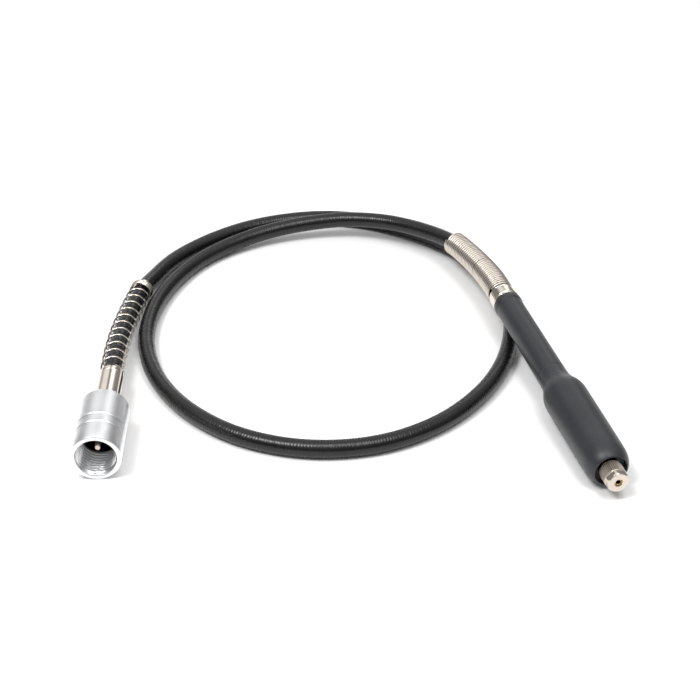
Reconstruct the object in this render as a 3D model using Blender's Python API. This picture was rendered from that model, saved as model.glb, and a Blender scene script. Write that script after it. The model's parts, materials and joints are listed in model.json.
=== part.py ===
"""Flexible-shaft attachment for a rotary tool: threaded coupling nut, casing
with a wire core inside, and a slim handpiece with a collet.

Metres, +Z up.  The casing lies on the ground plane in one loop, and both of its
ends point roughly along -Y, the coupling on the -X side and the handpiece on the
+X side.  The origin is the bottom centre of the whole object.  Dimensions are in
millimetres and are turned into metres as the meshes are built.
"""
import bpy
import bmesh
import math
from bisect import bisect_right
from mathutils import Vector, Matrix

# ----------------------------------------------------------------- dimensions
MM = 0.001
SHIFT = Vector((1.0, -9.0, 0.0))   # from layout coordinates to the object's origin
SHARP_ANGLE_DEG = 35.0             # edges steeper than this are shaded sharp

# casing, from the outside in
CASING_R, CASING_BORE_R = 4.35, 3.35
LINER_R, LINER_BORE_R = 2.95, 2.1
CORE_R = 1.6
CASING_SIDES, INNER_SIDES = 10, 6

# Coupling end: stations run along its axis from the nut's rear face (0)
# towards its mouth.
NUT_REAR = (-115.9, -70.6, 11.75)
NUT_DIR = Vector((0.030, -1.0, 0.0)).normalized()
NUT_R, NUT_LEN, NUT_WALL = 11.75, 40.1, 4.0
NUT_CAVITY_R, NUT_MOUTH_R, NUT_HOLE_R = 9.3, 9.6, 6.95
GROOVE_STATIONS = (20.5, 27.0)
GROOVE_DEPTH, GROOVE_HALF_WIDTH = 0.35, 0.6
FERRULE_R, FERRULE_REAR, FERRULE_FRONT = 6.4, -29.0, 12.0
FERRULE_BORE_R, FERRULE_SOCKET_R, FERRULE_SOCKET_FRONT = 3.4, 4.9, -14.0
FLANGE_R, FLANGE_REAR, FLANGE_FRONT = 8.3, 5.4, 7.4
WASHER_GAP = 0.3                   # on each face of the thrust washer
COUPLER_SHEATH_END = -14.5
TIP_FRONT = 32.0

# Handpiece: stations run forward along its axis to the collet.
HAND_REAR = (81.3, 22.73, 16.75)
HAND_HEADING = math.radians(14.13)   # from -Y towards +X
HAND_PITCH = math.radians(2.54)      # nose down
HAND_SPRING_FRONT = -5.5
HAND_SHEATH_END = 2.8
SLEEVE_REAR = 3.6
NECK_R, GRIP_R, GRIP_NOSE_R = 7.12, 10.78, 10.53
NOSE_STATION, COLLET_NUT_FACE = 145.6, 154.3
SPINDLE_R = 3.0

# ball bearings
BEARING_R, BEARING_BORE_R, BEARING_W = 7.5, 3.3, 5.0
OUTER_RACE_BORE_R, INNER_RACE_R = 6.5, 4.4
REAR_BEARING, FRONT_BEARING = 89.7, 128.5    # stations of their rear faces
SPACER_GAP = 0.3
BALLS, BALL_R, BALL_PITCH_R, CAGE_WIRE_R = 7, 0.8, 5.35, 0.32
CAGE_SIDES = 5

# springs: radii are over the outside of the wire
OPEN_SPRING_R, OPEN_WIRE_R, OPEN_TURNS = 6.1, 0.45, 11.8
CLOSE_SPRING_REAR_R, CLOSE_SPRING_FRONT_R = 6.6, 7.1
CLOSE_WIRE_R, CLOSE_PITCH = 0.68, 2.05
WIRE_SIDES = 4
END_RING_LEN, END_RING_R, END_RING_BORE_R = 5.2, 6.3, 4.8

# flex joints: distances along the casing behind each spring's far end
FLEX_NEAR, FLEX_FAR, FLEX_GAP = 12.0, 36.0, 2.9

# collet slots: (width across, thickness, length) of the cutter
SLOT_SIZE = (8.0, 0.5, 16.0)
SLOT_STATION = 148.0
SLOT_COUNT, SLOT_START_DEG, SLOT_STEP_DEG = 2, 15.0, 90

RETAINING_RING_GAP_DEG = 35.0

# Lay of the casing on the ground, from the coupling end to the handpiece
# (x, y, height of the centre line).
LAY = [
    (-117.2, -33.0, 11.55), (-117.7, -19.6, 10.9), (-117.8, -5.0, 9.95),
    (-117.3, 9.4, 9.0), (-116.1, 25.2, 8.1), (-114.5, 40.5, 7.2),
    (-112.9, 52.5, 6.4), (-108.5, 67.7, 4.95), (-99.4, 89.4, 4.4),
    (-81.0, 112.3, 4.35), (-58.0, 129.8, 4.35), (-31.0, 139.8, 4.35),
    (-8.0, 141.3, 4.35), (14.0, 136.3, 4.35), (34.0, 125.8, 4.35),
    (53.0, 110.9, 4.35), (69.2, 90.0, 4.35), (80.2, 62.0, 4.35),
    (85.3, 32.0, 4.35), (83.8, 8.0, 4.35), (76.3, -22.0, 4.35),
    (62.6, -49.0, 4.35), (41.0, -73.4, 4.35), (14.0, -88.9, 4.35),
    (-18.0, -92.9, 4.35), (-49.5, -83.9, 4.35), (-75.5, -63.9, 4.35),
    (-94.5, -36.0, 4.35), (-104.5, -3.0, 4.35), (-105.5, 28.0, 4.35),
    (-99.5, 58.0, 4.35), (-86.5, 86.0, 4.5), (-71.0, 103.5, 5.4),
    (-51.0, 116.5, 7.2), (-33.0, 123.0, 8.7), (-15.0, 125.9, 10.2),
    (0.0, 125.8, 11.4), (22.0, 119.3, 13.0), (44.0, 104.2, 14.7),
    (58.0, 89.2, 15.7), (65.1, 74.9, 16.2), (71.8, 58.1, 16.6),
    (76.4, 43.7, 16.85),
]
COUPLER_SPRING_END = LAY[6]
HAND_SPRING_END = LAY[-4]

# Where the route follows the coupling's and the handpiece's axes (stations).
# The outermost point at each end only steers the curve.
ROUTE_IN_COUPLING = (-8.0, COUPLER_SHEATH_END, -20.0, -25.0, -29.5)
ROUTE_IN_HANDPIECE = (HAND_SPRING_FRONT, -2.0, HAND_SHEATH_END, 7.6, 12.6)

# surface looks: base colour, roughness, metallic
LOOKS = {
    "casing": ((0.022, 0.022, 0.024), 0.42, 0.0),
    "rubber": ((0.050, 0.052, 0.058), 0.7, 0.0),
    "nickel": ((0.72, 0.67, 0.61), 0.22, 1.0),
    "aluminium": ((0.80, 0.81, 0.83), 0.35, 1.0),
    "steel": ((0.55, 0.56, 0.58), 0.3, 1.0),
    "black_steel": ((0.04, 0.04, 0.045), 0.5, 0.6),
    "bronze": ((0.55, 0.36, 0.18), 0.4, 1.0),
    "brass": ((0.78, 0.60, 0.25), 0.3, 1.0),
    "liner": ((0.75, 0.74, 0.70), 0.5, 0.0),
}

for old in list(bpy.data.objects):
    bpy.data.objects.remove(old, do_unlink=True)


# -------------------------------------------------------------------- frames
def world(point):
    """Layout millimetres to world metres."""
    return (Vector(point) + SHIFT) * MM


def up_square_to(direction):
    """Unit vector square to the direction, as near world up as it can be."""
    up = Vector((0, 0, 1))
    return (up - direction * up.dot(direction)).normalized()


def axis_matrix(origin, direction):
    """Local +Z along the direction, local +Y as near world up as it can be."""
    z = direction.normalized()
    y = up_square_to(z)
    x = y.cross(z)
    matrix = Matrix((x, y, z)).transposed().to_4x4()
    matrix.translation = origin
    return matrix


HAND_DIR = Vector((math.sin(HAND_HEADING) * math.cos(HAND_PITCH),
                   -math.cos(HAND_HEADING) * math.cos(HAND_PITCH),
                   -math.sin(HAND_PITCH)))


def nut_point(station):
    return Vector(NUT_REAR) + NUT_DIR * station


def hand_point(station):
    return Vector(HAND_REAR) + HAND_DIR * station


# -------------------------------------------------------------- casing route
def blend(first, second, start, end, t):
    """Straight-line blend that is first at t = start and second at t = end."""
    return first * ((end - t) / (end - start)) + second * ((t - start) / (end - start))


def spline(points, step=1.0):
    """Centripetal Catmull-Rom curve from the second point to the last but one,
    sampled about every step."""
    samples = []
    for i in range(1, len(points) - 2):
        p0, p1, p2, p3 = points[i - 1:i + 3]
        t0 = 0.0
        t1 = t0 + (p1 - p0).length ** 0.5
        t2 = t1 + (p2 - p1).length ** 0.5
        t3 = t2 + (p3 - p2).length ** 0.5
        count = max(2, int((p2 - p1).length / step))
        for k in range(count):
            t = t1 + (t2 - t1) * k / count
            a1 = blend(p0, p1, t0, t1, t)
            a2 = blend(p1, p2, t1, t2, t)
            a3 = blend(p2, p3, t2, t3, t)
            b1 = blend(a1, a2, t0, t2, t)
            b2 = blend(a2, a3, t1, t3, t)
            samples.append(blend(b1, b2, t1, t2, t))
    samples.append(points[-2])
    return samples


class Path:
    """Centre line of the casing, addressed by arc length in millimetres."""

    TANGENT_REACH = 1.5    # a tangent is taken over this far to each side

    def __init__(self, points):
        self.points = points
        self.lengths = [0.0]
        for a, b in zip(points, points[1:]):
            self.lengths.append(self.lengths[-1] + (b - a).length)

    def at(self, distance):
        distance = min(max(distance, 0.0), self.lengths[-1])
        i = min(bisect_right(self.lengths, distance) - 1, len(self.lengths) - 2)
        start, end = self.lengths[i:i + 2]
        fraction = (distance - start) / (end - start)
        return self.points[i].lerp(self.points[i + 1], fraction)

    def frame(self, distance):
        """Centre, upward normal and sideways normal."""
        ahead = self.at(distance + self.TANGENT_REACH)
        behind = self.at(distance - self.TANGENT_REACH)
        tangent = (ahead - behind).normalized()
        normal = up_square_to(tangent)
        return self.at(distance), normal, tangent.cross(normal)

    def nearest(self, target):
        """Arc length of the sample nearest to the target."""
        target = Vector(target)
        i = min(range(len(self.points)), key=lambda k: (self.points[k] - target).length)
        return self.lengths[i]


ROUTE = Path(spline([nut_point(station) for station in ROUTE_IN_COUPLING]
                    + [Vector(point) for point in LAY]
                    + [hand_point(station) for station in ROUTE_IN_HANDPIECE]))

# places along the route, as arc lengths
COUPLER_SHEATH_AT = ROUTE.nearest(nut_point(COUPLER_SHEATH_END))
FERRULE_REAR_AT = ROUTE.nearest(nut_point(FERRULE_REAR))
COUPLER_SPRING_AT = ROUTE.nearest(COUPLER_SPRING_END)
HAND_SPRING_AT = ROUTE.nearest(HAND_SPRING_END)
HAND_SPRING_FRONT_AT = ROUTE.nearest(hand_point(HAND_SPRING_FRONT))
HAND_SHEATH_AT = ROUTE.nearest(hand_point(HAND_SHEATH_END))
COUPLER_NEAR_JOINT = COUPLER_SPRING_AT + FLEX_NEAR
COUPLER_FAR_JOINT = COUPLER_SPRING_AT + FLEX_FAR
HAND_NEAR_JOINT = HAND_SPRING_AT - FLEX_NEAR
HAND_FAR_JOINT = HAND_SPRING_AT - FLEX_FAR


# --------------------------------------------------------------- shape makers
def material(name, look):
    colour, roughness, metallic = LOOKS[look]
    made = bpy.data.materials.new(name)
    made.use_nodes = True
    inputs = made.node_tree.nodes["Principled BSDF"].inputs
    inputs["Base Color"].default_value = (*colour, 1.0)
    inputs["Roughness"].default_value = roughness
    inputs["Metallic"].default_value = metallic
    made.diffuse_color = (*colour, 1.0)
    return made


def finish(name, shape, look, parent):
    """Turn the bmesh into a shaded object in its parent's frame."""
    bmesh.ops.recalc_face_normals(shape, faces=shape.faces)
    mesh = bpy.data.meshes.new(name)
    shape.to_mesh(mesh)
    shape.free()
    mesh.materials.append(material(name + "_" + look, look))
    mesh.shade_smooth()
    mesh.set_sharp_from_angle(angle=math.radians(SHARP_ANGLE_DEG))
    made = bpy.data.objects.new(name, mesh)
    bpy.context.scene.collection.objects.link(made)
    made.parent = parent
    return made


def turned(name, outline, look, parent, segs, closed=True, sweep_deg=360.0, start_deg=0.0):
    """Lathe a (radius, station) outline about the parent's +Z.

    A closed outline makes a ring; an open one starts and ends on the axis.
    A sweep short of the full turn, for closed outlines only, has flat ends.
    """
    shape = bmesh.new()
    cos, sin = math.cos(math.radians(start_deg)), math.sin(math.radians(start_deg))
    verts = [shape.verts.new((r * cos * MM, r * sin * MM, z * MM)) for r, z in outline]
    geom = verts + [shape.edges.new(pair) for pair in zip(verts, verts[1:])]
    if closed:
        geom.append(shape.edges.new((verts[-1], verts[0])))
    full = sweep_deg == 360.0
    if not full:
        geom.append(shape.faces.new(verts))
    bmesh.ops.spin(shape, geom=geom, cent=(0, 0, 0), axis=(0, 0, 1),
                   angle=math.radians(sweep_deg), steps=segs,
                   use_merge=full, use_duplicate=False)
    bmesh.ops.remove_doubles(shape, verts=shape.verts, dist=1e-7)
    return finish(name, shape, look, parent)


def bridge(shape, first, second):
    """Join two rings of vertices with a band of quads."""
    count = len(first)
    for k in range(count):
        after = (k + 1) % count
        shape.faces.new((first[k], first[after], second[after], second[k]))


def bridge_all(shape, rings):
    for first, second in zip(rings, rings[1:]):
        bridge(shape, first, second)


def section_ring(shape, centre, across, along, radius, sides, origin):
    """Ring of vertices about a layout point, placed relative to a world origin."""
    ring = []
    for k in range(sides):
        angle = 2 * math.pi * (k + 0.5) / sides
        point = centre + (across * math.cos(angle) + along * math.sin(angle)) * radius
        ring.append(shape.verts.new(world(point) - origin))
    return ring


def casing_run(name, start, end, stations, outer_r, inner_r, sides, look, parent):
    """A tube (or a rod when inner_r is None) swept along the route."""
    origin = parent.matrix_world.translation.copy()
    shape = bmesh.new()
    outer, inner = [], []
    for i in range(stations):
        frame = ROUTE.frame(start + (end - start) * i / (stations - 1))
        outer.append(section_ring(shape, *frame, outer_r, sides, origin))
        if inner_r is not None:
            inner.append(section_ring(shape, *frame, inner_r, sides, origin))
    bridge_all(shape, outer)
    if inner_r is None:
        shape.faces.new(outer[0])
        shape.faces.new(outer[-1])
    else:
        bridge_all(shape, inner)
        bridge(shape, outer[0], inner[0])
        bridge(shape, outer[-1], inner[-1])
    return finish(name, shape, look, parent)


def coil(name, start, end, turns, start_r, end_r, wire_r, per_turn, look, parent):
    """Helical spring of round wire wound round the route; radii are outside."""
    origin = parent.matrix_world.translation.copy()
    mean_start, mean_end = start_r - wire_r, end_r - wire_r
    steps = int(round(turns * per_turn))
    axis_points, wire_points = [], []
    for i in range(steps + 1):
        fraction = i / steps
        centre, normal, side = ROUTE.frame(start + (end - start) * fraction)
        angle = 2 * math.pi * turns * fraction
        radius = mean_start + (mean_end - mean_start) * fraction
        axis_points.append(centre)
        wire_points.append(
            centre + (normal * math.cos(angle) + side * math.sin(angle)) * radius)
    shape = bmesh.new()
    rings = []
    for i, (centre, point) in enumerate(zip(axis_points, wire_points)):
        tangent = (wire_points[min(i + 1, steps)] - wire_points[max(i - 1, 0)]).normalized()
        outward = (point - centre).normalized()
        outward = (outward - tangent * outward.dot(tangent)).normalized()
        rings.append(section_ring(shape, point, outward, tangent.cross(outward),
                                  wire_r, WIRE_SIDES, origin))
    bridge_all(shape, rings)
    shape.faces.new(rings[0])
    shape.faces.new(rings[-1])
    return finish(name, shape, look, parent)


def ball_cage(name, station, look, parent):
    """Balls on a cage wire: a closed ring whose section swells at each ball."""
    shoulder_r = 0.5 * (CAGE_WIRE_R + BALL_R) + 0.1
    swell = (CAGE_WIRE_R, shoulder_r, BALL_R, shoulder_r)   # section radii per ball
    count = BALLS * len(swell)
    shape = bmesh.new()
    rings = []
    for i in range(count):
        around = 2 * math.pi * i / count
        section_r = swell[i % len(swell)]
        ring = []
        for k in range(CAGE_SIDES):
            angle = 2 * math.pi * k / CAGE_SIDES
            radius = BALL_PITCH_R + section_r * math.cos(angle)
            ring.append(shape.verts.new((radius * math.cos(around) * MM,
                                         radius * math.sin(around) * MM,
                                         (station + section_r * math.sin(angle)) * MM)))
        rings.append(ring)
    bridge_all(shape, rings + rings[:1])
    return finish(name, shape, look, parent)


# ------------------------------------------------------------ parent empties
def empty(name, matrix):
    made = bpy.data.objects.new(name, None)
    made.empty_display_size = 0.01
    made.matrix_world = matrix
    bpy.context.scene.collection.objects.link(made)
    return made


def joint_empty(name, distance):
    return empty(name, Matrix.Translation(world(ROUTE.at(distance))))


loop_origin = empty("shaft_loop_origin", Matrix.Identity(4))
hand_sweep = joint_empty("handpiece_sweep_axis", HAND_FAR_JOINT)
hand_lift = joint_empty("handpiece_lift_axis", HAND_NEAR_JOINT)
coupler_sweep = joint_empty("coupler_sweep_axis", COUPLER_FAR_JOINT)
coupler_lift = joint_empty("coupler_lift_axis", COUPLER_NEAR_JOINT)
hand_axis = empty("handpiece_axis", axis_matrix(world(HAND_REAR), HAND_DIR))
nut_axis = empty("coupling_axis", axis_matrix(world(NUT_REAR), NUT_DIR))

# ------------------------------------------------------------- casing pieces
# The casing is cut at the four flex joints; each length has a sheath, a liner
# and a core.
HALF_GAP = FLEX_GAP / 2
CASING_LENGTHS = (   # name, start, end, stations, parent
    ("loop", COUPLER_FAR_JOINT + HALF_GAP, HAND_FAR_JOINT - HALF_GAP, 46, loop_origin),
    ("coupler_link", COUPLER_NEAR_JOINT + HALF_GAP, COUPLER_FAR_JOINT - HALF_GAP, 4,
     coupler_sweep),
    ("handpiece_link", HAND_FAR_JOINT + HALF_GAP, HAND_NEAR_JOINT - HALF_GAP, 4,
     hand_sweep),
    ("coupler_end", COUPLER_SHEATH_AT, COUPLER_NEAR_JOINT - HALF_GAP, 14, coupler_lift),
    ("handpiece_end", HAND_NEAR_JOINT + HALF_GAP, HAND_SHEATH_AT, 10, hand_lift),
)
for tag, start, end, stations, parent in CASING_LENGTHS:
    casing_run(tag + "_sheath", start, end, stations, CASING_R, CASING_BORE_R,
               CASING_SIDES, "casing", parent)
    casing_run(tag + "_liner", start, end, stations, LINER_R, LINER_BORE_R,
               INNER_SIDES, "liner", parent)
    casing_run(tag + "_core", start, end, stations, CORE_R, None,
               INNER_SIDES, "steel", parent)

# All outlines below are (radius, station) points.
# -------------------------------------------------------------- coupling end
# open spring over the casing, and the plain ring at its far end
coil("coupler_spring", FERRULE_REAR_AT + 1.1, COUPLER_SPRING_AT - END_RING_LEN - 0.9,
     OPEN_TURNS, OPEN_SPRING_R, OPEN_SPRING_R, OPEN_WIRE_R, 11, "nickel", coupler_lift)
casing_run("spring_end_ring", COUPLER_SPRING_AT - END_RING_LEN, COUPLER_SPRING_AT, 3,
           END_RING_R, END_RING_BORE_R, 16, "nickel", coupler_lift)

# ferrule: holds the casing at the rear, its flange sits inside the nut
turned("coupler_ferrule", [
    (FERRULE_R - 0.5, FERRULE_REAR), (FERRULE_R - 0.5, FERRULE_REAR + 3.4),
    (FERRULE_R, FERRULE_REAR + 3.9), (FERRULE_R, FLANGE_REAR),
    (FLANGE_R, FLANGE_REAR), (FLANGE_R, FLANGE_FRONT), (FERRULE_R, FLANGE_FRONT),
    (FERRULE_R, FERRULE_FRONT), (FERRULE_BORE_R, FERRULE_FRONT),
    (FERRULE_BORE_R, FERRULE_SOCKET_FRONT), (FERRULE_SOCKET_R, FERRULE_SOCKET_FRONT),
    (FERRULE_SOCKET_R, FERRULE_REAR)],
    "nickel", nut_axis, segs=18)
turned("guide_bush", [(3.1, 7.0), (3.1, 11.7), (1.9, 11.7), (1.9, 7.0)],
       "bronze", nut_axis, segs=12)

# washer between the nut's rear wall and the ferrule's flange
washer_rear, washer_front = NUT_WALL + WASHER_GAP, FLANGE_REAR - WASHER_GAP
turned("nut_thrust_washer", [
    (8.2, washer_rear), (8.2, washer_front), (6.75, washer_front), (6.75, washer_rear)],
    "black_steel", nut_axis, segs=18)

# nut: a cup open at the mouth, with two shallow grooves round the outside
groove_points = [
    (NUT_R - depth, station + offset)
    for station in GROOVE_STATIONS
    for depth, offset in ((0.0, -GROOVE_HALF_WIDTH), (GROOVE_DEPTH, 0.0),
                          (0.0, GROOVE_HALF_WIDTH))]
turned("coupling_nut", [
    (NUT_R - 1.0, 0.0), (NUT_R, 1.2), *groove_points,
    (NUT_R, NUT_LEN - 0.4), (NUT_R - 0.4, NUT_LEN),
    (NUT_MOUTH_R, NUT_LEN), (NUT_CAVITY_R, NUT_LEN - 1.0),
    (NUT_CAVITY_R, NUT_WALL), (NUT_HOLE_R, NUT_WALL), (NUT_HOLE_R, 0.0)],
    "aluminium", nut_axis, segs=24)

# end of the core
turned("core_end_sleeve", [(3.1, -13.0), (3.1, -7.0), (1.95, -7.0), (1.95, -13.0)],
       "steel", nut_axis, segs=12)
turned("drive_tip", [
    (0.0, -12.5), (CORE_R, -12.5), (CORE_R, TIP_FRONT - 0.6), (1.1, TIP_FRONT),
    (0.0, TIP_FRONT)], "steel", nut_axis, segs=12, closed=False)

# ------------------------------------------------------------ handpiece body
# close-wound spring behind the handpiece, widening towards it
coil("handpiece_spring", HAND_SPRING_AT + 0.7, HAND_SPRING_FRONT_AT - 0.9,
     round((HAND_SPRING_FRONT_AT - HAND_SPRING_AT) / CLOSE_PITCH),
     CLOSE_SPRING_REAR_R, CLOSE_SPRING_FRONT_R, CLOSE_WIRE_R, 8, "nickel", hand_lift)
turned("rear_ferrule", [
    (6.9, -5.2), (7.25, -4.9), (7.25, 3.1), (5.3, 3.1), (5.3, 14.0),
    (3.5, 14.0), (3.5, 3.2), (4.85, 3.2), (4.85, -5.2)],
    "nickel", hand_axis, segs=18)

# rubber sleeve: slim neck, flaring to the grip; the barrel lies inside it
turned("grip_sleeve", [
    (7.45, SLEEVE_REAR), (7.45, 7.3), (NECK_R, 8.2), (7.3, 73.5), (7.5, 77.0),
    (8.4, 80.3), (9.75, 84.2), (10.5, 87.0), (GRIP_R, 90.5),
    (GRIP_NOSE_R, 139.0), (9.9, 142.2), (8.9, 144.4), (8.3, NOSE_STATION),
    (7.65, NOSE_STATION), (7.65, 142.4), (8.6, 142.4), (9.7, 140.6), (9.7, 88.4),
    (6.6, 82.9), (6.6, SLEEVE_REAR)],
    "rubber", hand_axis, segs=18)
turned("handpiece_barrel", [
    (6.3, 4.2), (6.3, 83.2), (9.4, 88.9), (9.4, 140.5), (8.5, 142.0), (7.8, 142.0),
    (7.8, 89.3), (5.6, 89.3), (5.6, 4.2)],
    "aluminium", hand_axis, segs=18)
turned("nose_ring", [(7.5, 137.0), (7.5, 142.6), (4.5, 142.6), (4.5, 137.0)],
       "black_steel", hand_axis, segs=16)

# ------------------------------------------------------------------ bearings
for tag, rear in (("rear", REAR_BEARING), ("front", FRONT_BEARING)):
    front = rear + BEARING_W
    turned(tag + "_bearing_outer_race", [
        (BEARING_R, rear), (BEARING_R, front),
        (OUTER_RACE_BORE_R, front), (OUTER_RACE_BORE_R, rear)],
        "steel", hand_axis, segs=16)
    turned(tag + "_bearing_inner_race", [
        (INNER_RACE_R, rear), (INNER_RACE_R, front),
        (BEARING_BORE_R, front), (BEARING_BORE_R, rear)],
        "steel", hand_axis, segs=14)
    ball_cage(tag + "_ball_cage", rear + BEARING_W / 2, "steel", hand_axis)

# tube between the two outer races
spacer_rear = REAR_BEARING + BEARING_W + SPACER_GAP
spacer_front = FRONT_BEARING - SPACER_GAP
turned("bearing_spacer", [
    (BEARING_R, spacer_rear), (BEARING_R, spacer_front),
    (6.6, spacer_front), (6.6, spacer_rear)],
    "aluminium", hand_axis, segs=16)
turned("wave_washer", [(7.4, 133.9), (7.4, 134.5), (5.9, 134.5), (5.9, 133.9)],
       "steel", hand_axis, segs=16)

# split ring, its gap centred on local +Y
turned("retaining_ring", [(7.6, 135.0), (7.6, 136.1), (6.5, 136.1), (6.5, 135.0)],
       "black_steel", hand_axis, segs=14, sweep_deg=360.0 - RETAINING_RING_GAP_DEG,
       start_deg=90.0 + RETAINING_RING_GAP_DEG / 2)

# ------------------------------------------------------ turning parts inside
turned("straight_core", [
    (0.0, 10.6), (CORE_R, 10.6), (CORE_R, 63.6), (0.0, 63.6)],
    "steel", hand_axis, segs=8, closed=False)
# socket joining the core to the rear of the spindle
turned("core_socket", [
    (4.2, 58.0), (4.2, 72.0), (3.35, 72.0), (3.35, 64.6), (1.95, 64.2),
    (1.95, 58.0)], "steel", hand_axis, segs=12)
# spindle: a collar ahead of the rear bearing, a wide nose bored for the collet
turned("spindle", [
    (0.0, 65.2), (SPINDLE_R, 65.2), (SPINDLE_R, 95.1), (3.9, 95.1), (3.9, 96.9),
    (SPINDLE_R, 96.9), (SPINDLE_R, 136.0), (4.0, 136.6), (4.0, 150.2),
    (3.1, 150.2), (2.35, 147.6), (2.35, 122.0), (0.0, 121.4)],
    "steel", hand_axis, segs=14, closed=False)

# ------------------------------------------------------------ collet and nut
collet = turned("collet", [
    (1.95, 124.0), (1.95, 148.2), (2.7, 150.8), (2.7, 151.4), (1.75, 152.2),
    (1.75, 154.1), (1.2, 154.1), (1.2, 124.0)], "brass", hand_axis, segs=12)
turned("collet_nut", [
    (5.2, 144.4), (5.5, 144.8), (5.5, 149.4), (5.35, 149.7), (5.35, 153.3),
    (4.8, COLLET_NUT_FACE), (2.1, COLLET_NUT_FACE), (2.1, 152.5), (4.4, 152.0),
    (4.4, 144.4)],
    "nickel", hand_axis, segs=16)


def slot_cutter_mesh():
    mesh = bpy.data.meshes.new("collet_slot_cutter")
    shape = bmesh.new()
    bmesh.ops.create_cube(shape, size=1.0)
    bmesh.ops.scale(shape, vec=Vector(SLOT_SIZE) * MM, verts=shape.verts)
    shape.to_mesh(mesh)
    shape.free()
    return mesh


# crossed slots that let the collet's jaws close
cutter_mesh = slot_cutter_mesh()
for i in range(SLOT_COUNT):
    cutter = bpy.data.objects.new("collet_slot_cutter_%d" % (i + 1), cutter_mesh)
    bpy.context.scene.collection.objects.link(cutter)
    cutter.parent = hand_axis
    cutter.location = Vector((0, 0, SLOT_STATION)) * MM
    cutter.rotation_euler = (0, 0, math.radians(SLOT_START_DEG + SLOT_STEP_DEG * i))
    cutter.hide_render = True
    cutter.display_type = 'WIRE'
    slot = collet.modifiers.new("slot_%d" % (i + 1), 'BOOLEAN')
    slot.operation = 'DIFFERENCE'
    slot.object = cutter
    slot.solver = 'EXACT'

bpy.context.view_layer.update()
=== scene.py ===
"""A flexible-shaft attachment: the casing lies in one and a half flat loops on the
floor (Z = 0), from the coupling nut at the left (-X) to the handpiece at the right
(+X).  Nut and handpiece both point roughly towards -Y, the camera's side.  Fine
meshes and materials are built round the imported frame, in the frame's own axes.
Shapes are given in millimetres and scaled by MM; the scene is in metres."""
import json
import math

import bpy
import numpy as np
from mathutils import Matrix, Vector


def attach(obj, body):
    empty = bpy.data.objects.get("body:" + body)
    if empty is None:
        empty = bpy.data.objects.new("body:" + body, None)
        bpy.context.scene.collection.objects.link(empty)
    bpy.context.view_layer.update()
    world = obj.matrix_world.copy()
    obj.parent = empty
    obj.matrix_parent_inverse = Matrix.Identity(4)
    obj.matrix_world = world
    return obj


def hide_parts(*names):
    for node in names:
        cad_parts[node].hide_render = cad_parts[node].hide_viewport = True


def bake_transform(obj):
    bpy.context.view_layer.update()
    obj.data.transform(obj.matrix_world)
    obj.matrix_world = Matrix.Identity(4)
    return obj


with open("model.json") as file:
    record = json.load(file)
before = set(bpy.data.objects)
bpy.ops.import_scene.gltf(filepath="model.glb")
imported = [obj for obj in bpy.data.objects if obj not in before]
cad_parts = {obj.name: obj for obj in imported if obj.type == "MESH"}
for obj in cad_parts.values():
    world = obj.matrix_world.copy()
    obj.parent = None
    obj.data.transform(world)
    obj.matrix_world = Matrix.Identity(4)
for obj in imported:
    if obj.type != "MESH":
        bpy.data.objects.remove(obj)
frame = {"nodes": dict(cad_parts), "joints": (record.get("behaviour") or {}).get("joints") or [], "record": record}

MM = 0.001
TURN = 2 * np.pi
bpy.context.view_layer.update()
scene = bpy.context.scene
joints = {joint["name"]: joint for joint in frame["joints"]}


def unit(vector):
    return vector / np.linalg.norm(vector)


def joint_line(name):
    """Origin (m) and unit direction of a joint's axis."""
    return np.array(joints[name]["pos_m"], float), unit(np.array(joints[name]["axis"], float))


# ------------------------------------------------------------ casing route
SHIFT = np.array((1.0, -9.0, 0.0))      # moves the route into the frame
NUT_ORIGIN, NUT_DIR = joint_line("nut_spin")
HAND_ORIGIN, HAND_DIR = joint_line("spindle_spin")
NUT_REAR = np.array((-115.9, -70.6, 11.75))
HAND_REAR = np.array((81.3, 22.73, 16.75))

# stations along the two axes, from the rear of the nut and of the handpiece
SHEATH_START = -14.5
FERRULE_REAR = -29.0
FLANGE_REAR = -5.5
SHEATH_END = 2.8

# centre line between the two ends, (x, y, z)
LAY = [
    (-117.2, -33.0, 11.55), (-117.7, -19.6, 10.9), (-117.8, -5.0, 9.95),
    (-117.3, 9.4, 9.0), (-116.1, 25.2, 8.1), (-114.5, 40.5, 7.2),
    (-112.9, 52.5, 6.4), (-108.5, 67.7, 4.95), (-99.4, 89.4, 4.4),
    (-81.0, 112.3, 4.35), (-58.0, 129.8, 4.35), (-31.0, 139.8, 4.35),
    (-8.0, 141.3, 4.35), (14.0, 136.3, 4.35), (34.0, 125.8, 4.35),
    (53.0, 110.9, 4.35), (69.2, 90.0, 4.35), (80.2, 62.0, 4.35),
    (85.3, 32.0, 4.35), (83.8, 8.0, 4.35), (76.3, -22.0, 4.35),
    (62.6, -49.0, 4.35), (41.0, -73.4, 4.35), (14.0, -88.9, 4.35),
    (-18.0, -92.9, 4.35), (-49.5, -83.9, 4.35), (-75.5, -63.9, 4.35),
    (-94.5, -36.0, 4.35), (-104.5, -3.0, 4.35), (-105.5, 28.0, 4.35),
    (-99.5, 58.0, 4.35), (-86.5, 86.0, 4.5), (-71.0, 103.5, 5.4),
    (-51.0, 116.5, 7.2), (-33.0, 123.0, 8.7), (-15.0, 125.9, 10.2),
    (0.0, 125.8, 11.4), (22.0, 119.3, 13.0), (44.0, 104.2, 14.7),
    (58.0, 89.2, 15.7), (65.1, 74.9, 16.2), (71.8, 58.1, 16.6),
    (76.4, 43.7, 16.85),
]
LAY = [np.array(point, float) for point in LAY]
COUPLER_SPRING_END = LAY[6]
HAND_SPRING_END = LAY[-4]


def nut_point(station):
    return NUT_REAR + NUT_DIR * station


def hand_point(station):
    return HAND_REAR + HAND_DIR * station


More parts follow.
